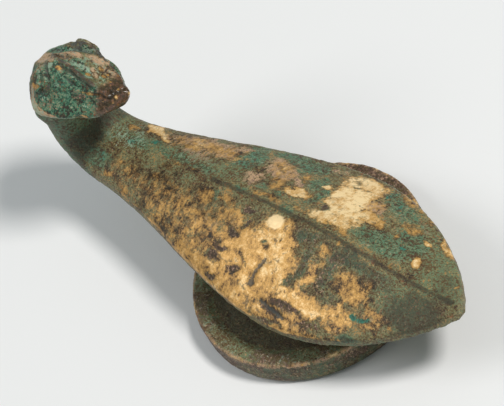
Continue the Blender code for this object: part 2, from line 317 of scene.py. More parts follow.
        (-18.5, 3.2, 3.0, 0.9, 0, 0.7),
        (-6.0, 2.6, 1.6, 1.2, 0, 0.75),
        (13.4, 6.6, 1.8, 0.8, -20, 0.6),
        (-12.5, 0.3, 0.9, 0.3, 0, 0.6),
        (-7.2, -4.2, 2.6, 1.0, -10, 0.5),
    ),
    "brown": (
        (20.0, -3.2, 5.0, 2.2, 12, 0.42),
        (12.5, -1.4, 5.0, 1.2, 0, 0.34),
        (7.6, -3.0, 2.2, 2.2, 0, 0.3),
        (-13.0, -0.4, 6.0, 1.2, 0, 0.15),
        (6.2, -8.1, 2.8, 1.0, -3, 0.8),
        (-1.5, -7.0, 3.2, 1.0, -6, 0.6),
        (-4.4, -5.4, 2.6, 1.6, 0, 0.5),
    ),
    # Dark places, mostly painted shade: beside the ridge and over the tip on the near side, along the
    # near lower edge, and the head's painted shadow on the neck; those over bare places are dark
    # patina.
    "dark": (
        (10.6, -0.9, 5.6, 0.9, -2, 0.7),
        (15.5, -1.6, 2.4, 1.2, 0, 0.6),
        (20.5, -2.6, 3.8, 2.4, 20, 0.85),
        # painted shadow of the head on the neck
        (-28.4, 0.0, 1.8, 5.0, 0, 0.9),
        (5.6, -1.0, 1.2, 0.8, 0, 0.6),
        (6.6, -3.7, 2.2, 0.5, 84, 0.6),
        (9.8, -3.2, 2.2, 0.8, 78, 0.45),
        (20.5, -5.0, 3.5, 0.9, 38, 0.8),
        (14.5, -8.2, 3.0, 0.7, 22, 0.85),
        (21.8, 1.4, 3.0, 1.8, -35, 0.5),
        (9.0, -9.6, 3.0, 0.4, 8, 0.7),
    ),
}
ROUND_SPOT = (1.05, -1.15, 1.0, 0.75, 12, 1.0)

# On the head's upper side: along, to the side
CROWN_PATCHES = {
    "gilding": (
        (9.8, 0.7, 0.35, 0.25, 0, 0.9),
        (10.6, 0.25, 0.35, 0.2, 0, 0.9),
        (10.8, 0.75, 0.25, 0.2, 0, 0.9),
        (9.3, -0.7, 0.3, 0.3, 0, 0.8),
        (6.5, -2.3, 0.45, 0.2, 0, 1.0),
        # a painted glint near the snout
        (11.5, 0.2, 0.25, 0.15, 0, 0.8),
    ),
    "rose": (
        (2.0, -0.6, 2.2, 0.9, -28, 0.9),
        (4.6, -1.6, 0.9, 0.4, -30, 0.8),
        (6.2, 0.3, 1.2, 0.35, 10, 0.85),
        (8.8, 1.2, 1.5, 0.35, 12, 0.8),
        (6.9, -1.35, 0.9, 0.35, -20, 0.8),
        (10.8, 0.9, 1.4, 0.5, 0, 0.6),
        (9.6, -0.1, 0.8, 0.3, -20, 0.75),
        (6.8, 2.2, 0.8, 0.3, 0, 0.7),
        (5.4, -0.3, 1.3, 0.5, 0, 0.6),
    ),
    "green": (
        (3.0, 0.8, 2.6, 0.6, -10, 0.8),
        (7.0, 1.6, 1.8, 0.4, 30, 0.9),
        (7.4, -0.6, 2.4, 0.6, 0, 0.6),
        (8.0, -3.4, 4.5, 1.8, 8, 1.0),
    ),
    "mint": (
        (7.4, -0.6, 1.1, 0.35, 5, 0.4),
        (8.8, -0.4, 0.7, 0.3, 0, 0.45),
        (9.6, -1.0, 0.35, 0.2, 0, 0.65),
        (5.6, 0.8, 0.8, 0.2, 20, 0.55),
        (7.0, 1.3, 0.8, 0.15, 25, 0.6),
        (5.2, -2.3, 0.4, 0.2, 0, 0.8),
    ),
}

# On the head's cheeks: along, up
CHEEK_PATCHES = {
    "gilding": (
        (10.2, 0.5, 0.45, 0.28, -10, 1.0),
        (3.6, 2.35, 1.25, 0.3, 22, 1.0),
        (4.7, 3.0, 0.4, 0.25, 0, 1.0),
        (10.8, 3.05, 1.5, 0.18, -6, 0.65),
    ),
    "rose": (
        (4.7, 0.75, 1.8, 0.5, -10, 1.0),
        (6.4, 0.3, 1.2, 0.35, 0, 0.95),
        (2.0, 2.2, 0.6, 0.35, 30, 0.9),
    ),
    "green": ((7.0, 2.6, 5.4, 3.0, 0, 1.0),),
    "brown": (
        (6.2, 1.5, 1.4, 0.35, 0, 0.6),
        (9.6, 2.7, 0.9, 0.4, -10, 0.6),
        (11.4, 1.6, 0.8, 0.4, 0, 0.5),
    ),
    "teal": (
        (5.2, 1.9, 0.9, 0.4, 0, 0.8),
        (6.6, 4.5, 1.2, 0.5, -10, 0.8),
        (7.4, 3.9, 0.8, 0.4, 0, 0.7),
        (8.6, 2.8, 0.8, 0.5, 0, 0.5),
        (9.8, 1.8, 1.2, 0.5, -20, 0.5),
        (6.0, 3.3, 1.2, 0.5, 30, 0.4),
    ),
    "mint": (
        (5.5, 3.6, 0.35, 0.25, 0, 0.9),
        (6.8, 3.5, 0.5, 0.25, 0, 0.8),
        (5.3, 4.6, 0.9, 0.25, 10, 0.7),
        (4.6, 0.75, 1.5, 0.35, -10, 0.6),
    ),
}

# Gilding left on the snout, where the brightest spots are painted glints: along, side, up, radius, how
# pale
NOSE_GILDING_AND_GLINTS = (
    (13.0, -0.6, 2.4, 0.3, 1.0),
    (12.9, 0.9, 1.9, 0.3, 0.5),
    (12.5, -1.1, 2.7, 0.2, 0.0),
    (12.7, -1.0, 1.9, 0.15, 0.0),
    (12.7, 0.1, 2.9, 0.18, 0.2),
    (12.0, -1.7, 2.2, 0.12, 0.0),
)
FINISHES = ("gilding", "bare", "pale", "worn", "film", "green", "teal", "mint", "rose", "brown", "dark")

# Grooves on the leaf: along, across
RIDGE_LINE = ((-10.0, 0.3), (-2.0, 0.3), (4.0, 0.2), (11.0, 0.1), (18.0, 0.1), (24.0, 0.1))
GASH = ((1.8, -4.9), (1.45, -5.6), (1.15, -6.3), (1.1, -7.0), (1.2, -7.4))
GASH_END = (1.15, -7.35, 0.5, 0.38, 10, 1.0)
SHORT_GASH = ((3.2, -8.4), (4.2, -8.55), (5.4, -8.8), (6.7, -9.0))
TIP_HOLLOW = (23.6, -0.25)

# Lines on the head: along, side, up
CREST = (
    (3.3, -0.3, 3.9),
    (4.2, -0.8, 4.4),
    (5.2, -1.4, 4.9),
    (6.3, -1.7, 5.2),
    (8.0, -1.7, 5.0),
    (9.7, -1.7, 4.4),
    (11.0, -1.6, 3.9),
)
SHADE_OFFSET = (0.0, -0.35, -0.15)
FAR_CREST = (
    (4.0, 0.9, 4.3),
    (5.2, 1.6, 4.9),
    (6.3, 1.9, 5.2),
    (8.0, 1.9, 5.0),
    (9.7, 1.7, 4.4),
    (11.0, 1.5, 3.9),
)
CUTS = (
    ((4.6, -0.5, 4.7), (6.2, -0.2, 5.1), (7.6, 0.2, 5.0), (8.8, 0.5, 4.6)),
    ((4.6, 0.4, 4.7), (6.0, 0.9, 5.1), (7.4, 1.4, 5.0), (8.8, 1.7, 4.6)),
    ((9.2, -1.0, 4.6), (10.4, -0.6, 4.2), (11.4, -0.2, 3.7)),
    ((5.0, 1.9, 4.6), (6.4, 2.4, 4.5), (7.6, 2.5, 4.4)),
    ((7.6, -2.6, 4.3), (9.0, -2.7, 3.8), (10.6, -2.5, 3.4)),
)
LOWER_BAND = ((2.4, -3.6, 1.4), (3.7, -4.7, 0.7), (5.3, -5.3, 0.4), (7.0, -5.2, 0.1))
BAND = ((4.2, -0.4, 4.5), (5.8, 0.1, 5.0), (7.1, 0.7, 4.9), (8.4, 1.2, 4.7), (10.0, 1.2, 4.2))
VALLEY = ((5.0, -0.7, 4.9), (6.8, -0.7, 5.1), (8.4, -0.5, 4.7), (10.4, -0.4, 4.0))
MOUTH = ((8.8, -3.6, 3.1), (10.6, -2.6, 3.1), (11.6, -1.9, 3.0), (12.6, -1.3, 2.6), (13.1, 0.0, 2.2))
FAR_MOUTH = ((8.8, 3.6, 3.1), (10.6, 2.6, 3.1), (11.6, 1.9, 3.0), (12.6, 1.3, 2.6))
LIP_CHIP = (9.9, -3.8, 0.3)
EYES = ((4.0, -3.6, 3.4), (5.6, 2.9, 4.1))
NOSTRILS = ((12.4, -0.9, 3.1), (13.0, 0.6, 2.4))
NOSTRIL_RING = 0.42

# Rings of an eye, in mm from its middle, the way it faces, and the ribs in it
EYE_HOLLOW = 0.6
EYE_RIM = 0.9
EYE_MOAT = 1.25
EYE_OVAL = 1.1
EYE_FACING = (-0.45, 0.8, 0.4)
RIB_SPACING = 0.5
RIB_DIRECTION = (0.71, 0.68, -0.18)

# Fuller and hollower places of the head: along, side, up, radius, rise
SWELLINGS = (
    (9.6, 3.7, 1.8, 2.6, -0.8),
    (7.2, 4.7, 1.2, 2.0, -0.75),
    (0.9, 0.3, 2.6, 1.3, 0.3),
    (2.5, -2.6, 3.3, 1.0, -0.25),
    (12.9, 0.6, 1.1, 1.0, 0.35),
    (12.7, -0.4, 1.1, 0.9, 0.25),
    (5.0, -5.2, 0.1, 1.7, 0.3),
    (2.8, -4.2, 1.3, 1.2, -0.15),
    (4.1, -3.7, 3.2, 1.2, 0.2),
    (5.9, -3.6, 3.2, 0.8, -0.15),
)
# Fuller place of the neck under the head: along, across, height, radius, rise
THROAT = (-30.7, -3.2, 17.3, 1.4, 0.6)

# Grains of noise in the finish: size in mm, detail, roughness, shift, bend, stretch
GRAINS = {
    "broad": (2.6, 4, 0.55, 2),
    "middle": (0.9, 5, 0.65, 5),
    "small": (0.36, 4, 0.62, 9),
    "grit": (0.28, 4, 0.65, 43),
    "fine": (0.15, 2, 0.5, 14),
    "scratches": (0.34, 4, 0.6, 20, 0, (1, 0.3, 1)),
    "lengthways": (0.34, 4, 0.6, 26, 0, (0.25, 1, 1)),
    "flecks": (1.1, 6, 0.7, 31, 0.4),
    "specks": (0.7, 4, 0.65, 57, 0.6),
}
# Ramps in the finish: the place of each tone
RAMPS = {
    "ground": {0.27: "soot_and_shade", 0.38: "umber", 0.49: "olive", 0.59: "grey_green", 0.69: "worn_gold"},
    "worn": {0.28: "olive", 0.44: "rose", 0.58: "rose", 0.70: "plum"},
    "crust": {0.32: "soot_and_shade", 0.42: "deep_green", 0.53: "mid_green", 0.66: "grey_green", 0.80: "mint"},
    "film": {0.36: "umber", 0.45: "olive", 0.53: "grey_green", 0.62: "mid_green", 0.72: "worn_gold"},
    "brown": {0.36: "soot_and_shade", 0.47: "umber", 0.58: "plum", 0.74: "rose"},
    "snout": {0.42: "soot_and_shade", 0.52: "umber", 0.61: "plum", 0.69: "rust", 0.78: "warm_gold"},
    "gold": {0.05: "soot_and_shade", 0.17: "umber", 0.29: "worn_gold", 0.49: "warm_gold", 0.80: "pale_gold"},
}
REFLECTION = 0.35
SNOUT_ROUGHNESS = 0.14
BUMP_DEPTH = 0.14 * MM

# Camera: its angles and distance, and where on the hook it points
RIM_TOP = Vector((0.0, 0.0, 3.3)) * MM
CAMERA_YAW = math.radians(65)
CAMERA_ELEVATION = math.radians(47.6)
CAMERA_ROLL = math.radians(31.7)
CAMERA_DISTANCE = 424 * MM
LENS_MM = 285.7
AIM_RIGHT = -5.9 * MM
AIM_UP = 6.28 * MM

# Lamps, room and floor
LAMP_DISTANCE = 0.9
KEY_DIRECTION = (0.685, 0.275, 1.0)
KEY_TONE = (1.0, 0.98, 0.95)
SHEEN_DIRECTION = (-0.44, -0.47, 0.74)
SHEEN_TONE = (1.0, 1.0, 1.0)
SHEEN_SIZE = 0.5
ROOM_TONE = (0.88, 0.98, 1.0, 1.0)
FLOOR_HALF_SIDE = 2.0
FLOOR_ROUGHNESS = 0.9


def length(name, description, default):
    """A length that can be set in the panel."""
    return FloatProperty(name=name, description=description, default=default, unit="LENGTH")


def colour(name, description, default):
    """A colour that can be picked in the panel."""
    return FloatVectorProperty(
        name=name, description=description, default=default, subtype="COLOR", size=4, min=0, max=1
    )


class ReliefSettings(bpy.types.PropertyGroup):
    """Sizes of the cast surface."""

    grain: length("Grain", "Side of the fine mesh's faces", 0.00025)
    crust: length("Crust", "Height of the green crust", 0.00008)
    pits: length("Pits", "Depth of the pits in the gilding", 0.00004)
    unevenness: length("Unevenness", "Slow waves of the casting", 0.00004)
    edge_wear: length("Edge wear", "Depth of the nicks along the edges", 0.00003)
    carving: length("Carving", "Height of the head's lines", 0.0003)


class PatinaSettings(bpy.types.PropertyGroup):
    """Colours of the metal and of what has grown on it."""

    pale_gold: colour("Pale gold", "Gilding at its cleanest", (1.0, 0.75, 0.40, 1))
    warm_gold: colour("Warm gold", "Most of the gilding", (0.66, 0.37, 0.11, 1))
    worn_gold: colour("Worn gold", "Gilding rubbed thin over bronze", (0.38, 0.215, 0.07, 1))
    rose: colour("Rose", "Bronze rubbed bare", (0.53, 0.34, 0.20, 1))
    plum: colour("Plum", "Purple-brown patina", (0.13, 0.075, 0.065, 1))
    umber: colour("Umber", "Brown patina", (0.11, 0.06, 0.025, 1))
    olive: colour("Olive", "Green-brown patina", (0.165, 0.135, 0.052, 1))
    rust: colour("Rust", "Reddish specks", (0.30, 0.12, 0.045, 1))
    slate: colour("Slate", "Dirt in the grooves", (0.055, 0.06, 0.055, 1))
    # Dark specks, and the tone that painted shade darkens towards
    soot_and_shade: colour("Soot", "Dark specks", (0.032, 0.027, 0.018, 1))
    deep_green: colour("Deep green", "Old green crust", (0.014, 0.052, 0.030, 1))
    grey_green: colour("Grey green", "Thin green film", (0.155, 0.20, 0.115, 1))
    mid_green: colour("Mid green", "Green crust", (0.062, 0.205, 0.12, 1))
    teal: colour("Teal", "Bright crust", (0.015, 0.20, 0.145, 1))
    mint: colour("Mint", "Powdery crust", (0.34, 0.46, 0.33, 1))


class StageSettings(bpy.types.PropertyGroup):
    """Floor and light."""

    floor: colour("Floor", "Colour of the floor", (0.84, 0.84, 0.84, 1))
    key_power: FloatProperty(
        name="Key power", description="Power of the main light", default=5.9, unit="POWER"
    )
    key_size: length("Key size", "Width of the main light", 0.2)
    sheen_power: FloatProperty(
        name="Sheen power", description="Power of the broad soft light", default=2.2, unit="POWER"
    )
    fill: FloatProperty(
        name="Fill", description="Brightness of the room", default=0.27, subtype="FACTOR"
    )


def step(low, high, values):
    """0 at low to 1 at high, smoothly, for single values or arrays. Low may be above high."""
    share = np.clip((values - low) / (high - low), 0.0, 1.0)
    return share * share * (3 - 2 * share)


def waves(points, size, octaves=4, lift=0.0):
    """Noise of about this size in mm at each point, from -1 to 1."""
    offset = Vector((lift, lift * 0.7, -lift))
    return np.array(
        [noise.fractal(Vector(p) / size + offset, 0.9, 2.0, octaves) for p in points.tolist()]
    )


def patches(first, second, table):
    """Strength of the strongest patch over each place: full well inside, a half at its edge."""
    field = np.zeros(len(first))
    for x, y, half_length, half_width, turn, strength in table:
        cos, sin = math.cos(math.radians(turn)), math.sin(math.radians(turn))
        lengthways = ((first - x) * cos + (second - y) * sin) / half_length
        sideways = ((second - y) * cos - (first - x) * sin) / half_width
        field = np.maximum(field, strength * step(1.5, 0.5, np.hypot(lengthways, sideways)))
    return field


def line_distance(points, path):
    """Distance in mm from each point to a line through the path's points."""
    nearest = np.full(len(points), np.inf)
    path = np.array(path, float)
    for start, end in zip(path, path[1:]):
        way = end - start
        share = np.clip((points - start) @ way / (way @ way), 0.0, 1.0)
        nearest = np.minimum(nearest, np.linalg.norm(points - start - share[:, None] * way, axis=1))
    return nearest


def bead(distance, width):
    """A round-topped bead or groove of this half width: 1 on the line, 0 away from it."""
    return np.exp(-((distance / width) ** 2))


def beads(points, paths, width):
    """The strongest of the beads along these paths."""
    return np.maximum.reduce([bead(line_distance(points, path), width) for path in paths])


def ball(points, centre, radius):
    """A round swelling: 1 at its centre, 0 well outside this radius."""
    return bead(np.linalg.norm(points - np.array(centre), axis=1), radius)


def new_object(name, data):
    """An object with this data, linked into the scene."""
    thing = bpy.data.objects.new(name, data)
    bpy.context.scene.collection.objects.link(thing)
    return thing


def mesh_arrays(mesh):
    """Vertices in mm and their normals, as arrays."""
    points = np.empty(len(mesh.vertices) * 3)
    normals = np.empty(len(mesh.vertices) * 3)
    mesh.vertices.foreach_get("co", points)
    mesh.vertices.foreach_get("normal", normals)
    return points.reshape(-1, 3) / MM, normals.reshape(-1, 3)


def fine_copy(node, name, grain):
    """A welded copy of the CAD node, remade as an even mesh of small faces."""
    bm = bmesh.new()
    bm.from_mesh(node.data)
    bmesh.ops.remove_doubles(bm, verts=bm.verts, dist=WELD)
    mesh = bpy.data.meshes.new(name)
    bm.to_mesh(mesh)
    bm.free()
    piece = new_object(name, mesh)
    remesh = piece.modifiers.new("even faces", "REMESH")
    remesh.mode = "VOXEL"
    remesh.voxel_size = grain
    graph = bpy.context.evaluated_depsgraph_get()
    fine = bpy.data.meshes.new_from_object(piece.evaluated_get(graph))
    piece.modifiers.clear()
    piece.data = fine
    fine.name = name
    bpy.data.meshes.remove(mesh)
    return piece


def ease_facets(mesh):
    """Softens the voxels' steps everywhere, then smooths the facets away but for ridges and edges."""
    points, normals = mesh_arrays(mesh)
    edges = np.empty(len(mesh.edges) * 2, np.int64)
    mesh.edges.foreach_get("vertices", edges)
    first, second = edges.reshape(-1, 2).T
    bend = np.arccos(np.clip((normals[first] * normals[second]).sum(1), -1, 1))
    sharpest = np.zeros(len(points))
    np.maximum.at(sharpest, first, bend)
    np.maximum.at(sharpest, second, bend)
    weight = EASE_STEP * step(CREASE_ABOVE, FLAT_BELOW, sharpest)[:, None]
    count = len(points)
    neighbours = np.bincount(edges, minlength=count)[:, None]
    for turn in range(SOFTEN_PASSES + EASE_PASSES):
        total = np.stack(
            [
                np.bincount(first, points[second, k], count)
                + np.bincount(second, points[first, k], count)
                for k in range(3)
            ],
            axis=1,
        )
        share = EASE_STEP if turn < SOFTEN_PASSES else weight
        points = points + share * (total / neighbours - points)
    mesh.vertices.foreach_set("co", (points * MM).ravel())
    mesh.update()


def refine_head(mesh):
    """Splits the head's faces once more, for its finer carving."""
    bm = bmesh.new()
    bm.from_mesh(mesh)
    limit = HEAD_FROM_HEIGHT * MM
    edges = [edge for edge in bm.edges if all(vert.co.z > limit for vert in edge.verts)]
    bmesh.ops.subdivide_edges(bm, edges=edges, cuts=1, use_grid_fill=True)
    verts = [vert for vert in bm.verts if vert.co.z > limit]
    bmesh.ops.smooth_vert(
        bm, verts=verts, factor=0.5, use_axis_x=True, use_axis_y=True, use_axis_z=True
    )
    bm.to_mesh(mesh)
    bm.free()
    mesh.update()


def head_frame(vectors):
    """Turns directions into the head's own frame: along, side, up."""
    return vectors @ np.array(Matrix.Rotation(HEAD_LEAN, 3, "X"))


def eye_relief(head):
    """The groove round each eye, its raised rim, the hollow inside it, and the ribs in the hollow."""
    moat, rim, inside, ribs = np.zeros((4, len(head)))
    phase = head @ np.array(RIB_DIRECTION) * math.tau / RIB_SPACING
    for centre in EYES:
        away = head - np.array(centre)
        side = math.copysign(1.0, centre[1])
        out = np.array(EYE_FACING) * (1.0, side, 1.0)
        out /= np.linalg.norm(out)
        depth = away @ out
        flat = away - depth[:, None] * out
        across = np.hypot(flat[:, 0], flat[:, 2] / EYE_OVAL)
        near = step(1.7, 1.0, np.abs(depth)) * (head[:, 1] * side > 0)
        hollow = near * step(EYE_HOLLOW + 0.25, EYE_HOLLOW, across)
        moat = np.maximum(moat, near * bead(across - EYE_MOAT, 0.18))
        rim = np.maximum(rim, near * bead(across - EYE_RIM, 0.22))
        inside = np.maximum(inside, hollow)
        ribs = np.maximum(ribs, hollow * (0.5 + 0.5 * np.cos(phase)))
    return moat, rim, inside, ribs


def survey(points, normals):
    """How much each point belongs to every part, from 0 to 1, and its place in plan and on the head."""
    along, across, height = points.T
    head = head_frame(points - np.array(HEAD_BACK))
    head_facing = head_frame(normals)
    on_head = step(HEAD_FROM_HEIGHT + 0.8, HEAD_FROM_HEIGHT + 1.6, height)
    on_body = step(LEAF_FROM_HEIGHT - 0.3, LEAF_FROM_HEIGHT + 0.2, height) * (1 - on_head)
    on_button = step(LEAF_FROM_HEIGHT - 0.2, LEAF_FROM_HEIGHT - 0.8, height)
    radius = np.hypot(along, across)
    wall = step(BUTTON_RADIUS - 0.4, BUTTON_RADIUS - 0.2, radius)
    wall *= step(BUTTON_TOP - 0.1, BUTTON_TOP - 0.4, height) * on_button
    rim_start = BUTTON_RADIUS - RIM_WIDTH
    rim = on_button * step(rim_start - 0.3, rim_start, radius) * (1 - wall)
    middle = EDGE_ROUND * (1 - math.sqrt(0.5))
    corner = np.hypot(radius - BUTTON_RADIUS + middle, height - BUTTON_TOP + middle)
    crown = on_head * step(0.35, 0.75, head_facing[:, 2])
    under = on_head * step(-0.4, -0.8, head_facing[:, 2])
    return SimpleNamespace(
        plan=points[:, :2],
        head=head,
        on_head=on_head,
        on_body=on_body,
        on_top=on_body * step(-0.15, 0.25, normals[:, 2]),
        on_edge=on_body * step(0.8, 0.5, normals[:, 2]) * step(-0.9, -0.5, normals[:, 2]),
        on_button=on_button,
        on_wall=wall,
        on_rim=rim,
        rim_edge=bead(corner, 0.3),
        rim_line=bead(corner, 0.32),
        lip=on_body * bead(normals[:, 2] - 0.45, 0.2) * step(-25.0, -21.0, along),
        crown=crown,
        cheeks=on_head - crown - under,
        under=under,
        snout=on_head * step(11.0, 11.9, head[:, 0]),
        foot=step(0.0, 0.4, height),
        crests=on_head * beads(head, (CREST, FAR_CREST), 0.28),
        crest_lines=on_head * beads(head, (CREST, FAR_CREST), 0.17),
        crest_shade=on_head * bead(line_distance(head - np.array(SHADE_OFFSET), CREST), 0.24),
        cuts=on_head * beads(head, CUTS, 0.2),
        # A band along the head's lower edge, where a pale line is painted as its highlight.
        jaw_edge_highlight=on_head * bead(head_facing[:, 2] + 0.45, 0.2) * step(-0.8, 0.0, head[:, 2]),
        band=on_head * beads(head, (BAND,), 0.25),
        lower_band=on_head * beads(head, (LOWER_BAND,), 0.5),
    )


def patch_finishes(place):
    """Each finish as its patches give it, with wandering outlines, and the marks on the leaf."""
    plan, head = place.plan, place.head
    flat = np.column_stack((plan, np.zeros(len(plan))))
    along = plan[:, 0] + DRIFT * waves(flat, DRIFT_LENGTH, 4, 3.1)
    across = plan[:, 1] + DRIFT * waves(flat, DRIFT_LENGTH, 4, 7.7)
    regions = (
        (LEAF_PATCHES, along, across, place.on_top),
        (CROWN_PATCHES, head[:, 0], head[:, 1], place.crown),
        (CHEEK_PATCHES, head[:, 0], head[:, 2], place.cheeks),
    )
    fields = SimpleNamespace()
    for name in FINISHES:
        shares = [
            patches(first, second, tables.get(name, ())) * share
            for tables, first, second, share in regions
        ]
        setattr(fields, name, sum(shares))
    spot = patches(plan[:, 0], plan[:, 1], [ROUND_SPOT]) * place.on_top
    fields.spot = step(0.42, 0.58, spot)
    grooves = (
        bead(line_distance(plan, GASH), 0.3),
        bead(line_distance(plan, SHORT_GASH), 0.22),
        patches(plan[:, 0], plan[:, 1], [GASH_END]),
    )
    fields.groove = np.maximum.reduce(grooves) * place.on_top
    fields.ridge = bead(line_distance(plan, RIDGE_LINE), 0.4) * place.on_top
    return fields


def finish_head(fields, place):
    """Adds what follows the head's carving: its crests, eyes, lower band and snout, a painted highlight
    along the lower edge, and painted shade under the head and beside the near crest.
    """
    head, on_head, crown, snout = place.head, place.on_head, place.crown, place.snout
    crest_lines, lower_band = place.crest_lines, place.lower_band
    moat, rim, inside, ribs = eye_relief(head)
    fields.groove += 0.7 * place.cuts + 0.6 * crest_lines + 0.6 * on_head * moat
    fields.brown += on_head * (0.2 * rim + 0.5 * moat + 0.15 - 0.3 * fields.rose)
    fields.brown += 0.9 * crest_lines + 0.7 * snout
    fields.green += on_head * (0.4 - 0.5 * rim - 0.9 * fields.rose)
    fields.green -= crest_lines + 0.5 * snout + 1.3 * lower_band
    near_eye = on_head * (head[:, 1] < 0)
    fields.rose += near_eye * (0.4 * inside + 0.6 * ribs + 0.5 * rim)
    fields.rose += 0.1 * crown + 1.1 * lower_band
    # Pale mint in the eyes' ribs, and along the lower edge as a painted highlight.
    fields.mint += on_head * 0.25 * ribs + 1.2 * place.jaw_edge_highlight
    fields.mint += 0.42 * crown + 0.35 * lower_band - 0.4 * snout
    # A darker snout and crest lines, with painted shade under the head and on the near side of the
    # crest.
    fields.dark += 0.45 * snout + 0.5 * place.under
    fields.dark += 0.4 * crest_lines + 1.1 * place.crest_shade
    # Gilding specks on the snout; the palest are painted glints.
    for *centre, radius, pale in NOSE_GILDING_AND_GLINTS:
        blob = ball(head, centre, radius) * on_head
        fields.gilding += 1.1 * blob
        fields.pale += pale * blob
    fields.gloss = snout
    fields.head = on_head


def finish_leaf(fields, place):
    """Adds what follows the leaf's edges and underside, with painted shade under the leaf, and the
    green of the curl.
    """
    along, across = place.plan.T
    off_head = 1 - place.on_head
    near = step(*NEAR_SIDE, across)
    lip = place.lip * step(16.0, 13.0, along)
    below = place.on_body - place.on_top
    fields.brown += fields.bare * (1 - fields.green)
    fields.mint += 0.9 * lip * (1 - near) * step(-12.0, -8.0, along)
    fields.mint += 0.1 * place.on_top * step(-15.0, -20.0, along) * off_head
    fields.gilding += 0.6 * lip * near
    fields.rose += 0.2 * place.on_edge * step(14.0, 8.0, along)
    fields.green += 0.45 * below + 0.5 * step(-25.5, -27.5, along) * off_head
    fields.teal += 0.35 * step(-26.5, -28.5, along) * off_head
    # Painted shade on the leaf's underside.
    fields.dark += 0.35 * below


def finish_button(fields, place, points):
    """Adds the button's own finishes: a rubbed edge line and stains on rim and wall, and painted shade
    over the dish under the leaf.
    """
    along, across = place.plan.T
    button, rim, wall = place.on_button, place.on_rim, place.on_wall
    near = step(*NEAR_SIDE, across)
    front = step(-4.0, 6.0, along)
    rubbed = place.rim_line * (0.65 + 0.6 * step(-0.3, 0.3, waves(points, 1.8, 3, 37.0)))
    stains = step(0.0, 0.45, waves(points * np.array((1.0, 1.0, 2.0)), 2.6, 3, 29.0))
    fields.gilding += 0.42 * rubbed
    fields.pale += 0.8 * rubbed
    fields.rose += 0.3 * wall + 1.2 * rubbed
    fields.film += 0.7 * rim * near
    fields.mint += 0.32 * rim * near
    fields.green += 0.25 * button + 0.3 * front * wall
    fields.brown += 0.35 * button + (0.5 - 0.4 * front) * wall
    fields.brown += 0.4 * rim * (1 - near) + 0.4 * stains * (rim + wall)
    # Painted shade over the button under the leaf, less on its rim and wall.
    fields.dark += 0.8 * button - 0.45 * rim - 0.25 * wall


def finishes(points, place):
    """How much of each finish every point of the surface has."""
    fields = patch_finishes(place)
    finish_head(fields, place)
    finish_leaf(fields, place)
    finish_button(fields, place, points)
    fields.gilding *= 1 - fields.bare
    return fields


def head_relief(place, carving):
    """Height in mm of the head's carving: its lines, eyes, mouth, nostrils and swellings."""
    head = place.head
    moat, rim, inside, ribs = eye_relief(head)
    height = carving * (rim - 0.6 * moat - 0.4 * inside + 0.4 * ribs)
    height += carving * (1.1 * place.crests + 0.7 * place.band - 0.8 * place.cuts)
    height -= carving * (0.9 * bead(line_distance(head, VALLEY), 0.5) + 0.6 * place.crest_shade)
    height -= 0.9 * carving * beads(head, (MOUTH, FAR_MOUTH), 0.2)
    for *centre, radius, _ in NOSE_GILDING_AND_GLINTS:
        height += 0.4 * carving * ball(head, centre, radius)
    for *centre, radius, rise in SWELLINGS:
        height += rise * ball(head, centre, radius)
    for nostril in NOSTRILS:
        away = np.linalg.norm(head - np.array(nostril), axis=1)
        height += 0.9 * carving * (bead(away - NOSTRIL_RING, 0.2) - bead(away, 0.22))
    chip = np.linalg.norm((head - np.array(LIP_CHIP)) * (0.6, 1.0, 1.0), axis=1)
    height -= 1.5 * carving * bead(chip, 0.45)
    return height * place.on_head


def relief(points, place, fields, settings):
    """Height in mm that each point moves along its normal."""
    on_top, on_edge = place.on_top, place.on_edge
    rough = np.clip(1 - fields.gilding * 1.1, 0.12, 1) * (1 - 0.95 * on_edge)
    rough *= 1 - 0.6 * (place.on_body - on_top)
    crumbs = waves(points, 0.75, 4, 5.9)
    lumps = waves(points, 1.7, 3, 11.0)
    pitting = step(0.22, 0.5, waves(points, 0.9, 3, 17.0))
    nicks = step(0.1, 0.6, waves(points, 1.5, 3, 23.0))
    height = settings.unevenness / MM * waves(points, 4.0, 2, 1.3)
    height += settings.crust / MM * rough * (0.6 * crumbs + 0.4 * lumps)
    height -= settings.pits / MM * pitting * (0.4 + 0.6 * on_top)
    height -= settings.edge_wear / MM * on_edge * nicks

    height -= GROOVE_DEPTH * fields.groove * on_top
    height -= RIDGE_DEPTH * fields.ridge + BARE_DEPTH * np.clip(fields.bare, 0, 1)
    height -= TIP_HOLLOW_DEPTH * ball(place.plan, TIP_HOLLOW, TIP_HOLLOW_RADIUS) * on_top
    height += SPOT_RISE * fields.spot + EDGE_RISE * place.rim_edge
    *centre, radius, rise = THROAT
    height += rise * ball(points, centre, radius)
    height += head_relief(place, settings.carving / MM)
    return height * place.foot


def add_attribute(mesh, name, values):
    """Keeps the values on the mesh's vertices, cut to 0 to 1."""
    attribute = mesh.attributes.new(name, "FLOAT", "POINT")
    attribute.data.foreach_set("value", np.clip(values, 0, 1).astype(np.float32))


